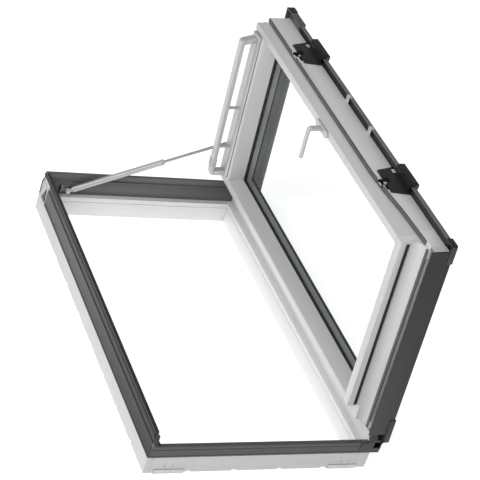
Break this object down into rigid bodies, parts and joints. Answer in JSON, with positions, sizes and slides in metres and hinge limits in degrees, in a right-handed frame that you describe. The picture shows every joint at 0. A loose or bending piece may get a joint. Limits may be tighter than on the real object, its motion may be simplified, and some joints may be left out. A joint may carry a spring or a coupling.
{
  "type": "roof window",
  "caption": "side-hung roof access window: clad white frame with a double-glazed sash swung open on its long edge, gas strut, handle and ventilation flap",
  "frame": {"origin": "centre of the frame's underside, in the plane its fixing angles stand on", "axes": "+X across the window from the lock side to the hinge side, +Y up the roof slope from the near (eaves) end to the far (ridge) end, +Z outwards from the roof; the sash is stored open"},
  "size_m": [0.6967, 1.2005, 0.7934],
  "materials": {
    "white_lacquer": "white lacquered timber core, satin",
    "grey_cladding": "dark grey painted sheet, matt",
    "black_plastic": "black moulded plastic",
    "black_rubber": "soft black sealing profile",
    "grey_brush": "dark brush pile in a soft carrier",
    "zinc_steel": "zinc plated steel",
    "bright_rod": "polished rod",
    "light_alloy": "satin aluminium",
    "grey_foam": "filter foam",
    "window_glass": "clear float glass",
    "light_plastic": "light grey moulded plastic"
  },
  "bodies": {
    "frame": {"corner_blocks": "black_plastic", "fixing_angles": "zinc_steel", "frame_far_cladding": "grey_cladding", "frame_far_member": "white_lacquer", "frame_gasket": "black_rubber", "frame_left_cladding": "grey_cladding", "frame_left_member": "white_lacquer", "frame_near_cladding": "grey_cladding", "frame_near_member": "white_lacquer", "frame_right_cladding": "grey_cladding", "frame_right_member": "white_lacquer", "frame_screws": "zinc_steel", "head_gusset": "grey_cladding", "hinge_frame_leaves": "zinc_steel", "hinge_pins": "zinc_steel", "lock_keeps": "zinc_steel", "strut_frame_bracket": "zinc_steel", "upstand_cap_far": "grey_cladding", "upstand_cap_left": "grey_cladding"},
    "sash": {"brush_strip": "grey_brush", "cover_clips": "light_plastic", "glass_edge_seal": "black_rubber", "glass_inner_pane": "window_glass", "glass_outer_pane": "window_glass", "glass_spacer": "light_alloy", "glazing_seal_inner": "black_rubber", "glazing_seal_outer": "black_rubber", "handle_escutcheon": "light_alloy", "hinge_sash_leaves": "zinc_steel", "lock_case": "black_plastic", "lock_housings": "black_plastic", "lock_levers": "light_plastic", "sash_corner_caps": "black_plastic", "sash_far_hood": "grey_cladding", "sash_far_rail": "white_lacquer", "sash_hinge_cover": "grey_cladding", "sash_hinge_stile": "white_lacquer", "sash_lock_cover": "grey_cladding", "sash_lock_stile": "white_lacquer", "sash_near_cover": "grey_cladding", "sash_near_rail": "white_lacquer", "sash_screws": "zinc_steel", "strut_sash_plate": "zinc_steel", "vent_filter": "grey_foam", "vent_flap_pin": "zinc_steel", "vent_seal": "black_rubber", "weather_gasket": "black_rubber"},
    "strut_tube": {"strut_tube": "black_plastic", "strut_socket": "black_plastic"},
    "strut_rod": {"strut_rod": "bright_rod", "strut_piston": "black_plastic", "strut_head": "zinc_steel"},
    "handle": {"handle_lever": "light_alloy", "handle_spindle": "zinc_steel"},
    "lock_rail": {"lock_drive_rail": "zinc_steel"},
    "vent": {"vent_flap": "light_alloy", "vent_control_bar": "light_alloy", "vent_bar_arms": "light_alloy", "vent_bar_grip": "light_alloy"}
  },
  "joints": [
    {"name": "sash_swing", "type": "hinge", "parent": "frame", "child": "sash", "pos_m": [0.327, 0, 0.129], "axis": [0, -1, 0], "range_deg": [0, 85.5]},
    {"name": "vent_turn", "type": "hinge", "parent": "sash", "child": "vent", "pos_m": [0.21124, 0.54, 0.46546], "axis": [0.0785, 0, -0.9969], "range_deg": [0, 20]},
    {"name": "handle_turn", "type": "hinge", "parent": "sash", "child": "handle", "pos_m": [0.17048, -0.009, 0.72857], "axis": [-0.9969, 0, -0.0785], "range_deg": [0, 90]},
    {"name": "rail_slide", "type": "slide", "parent": "sash", "child": "lock_rail", "axis": [0, 1, 0], "range_m": [0, 0.018]},
    {"name": "strut_tilt", "type": "hinge", "parent": "frame", "child": "strut_tube", "pos_m": [-0.252, 0.5575, 0.088], "axis": [0, 1, 0], "range_deg": [0, 24.45]},
    {"name": "strut_stroke", "type": "slide", "parent": "strut_tube", "child": "strut_rod", "axis": [-0.9139, 0, -0.406], "range_m": [0, 0.18409]}
  ],
  "couplings": [
    {"joint": "rail_slide", "follows": "handle_turn", "m_per_rad": 0.011458},
    {"joint": "strut_tilt", "follows": "sash_swing", "ratio": 0.28535},
    {"joint": "strut_stroke", "follows": "sash_swing", "m_per_rad": 0.12323}
  ]
}
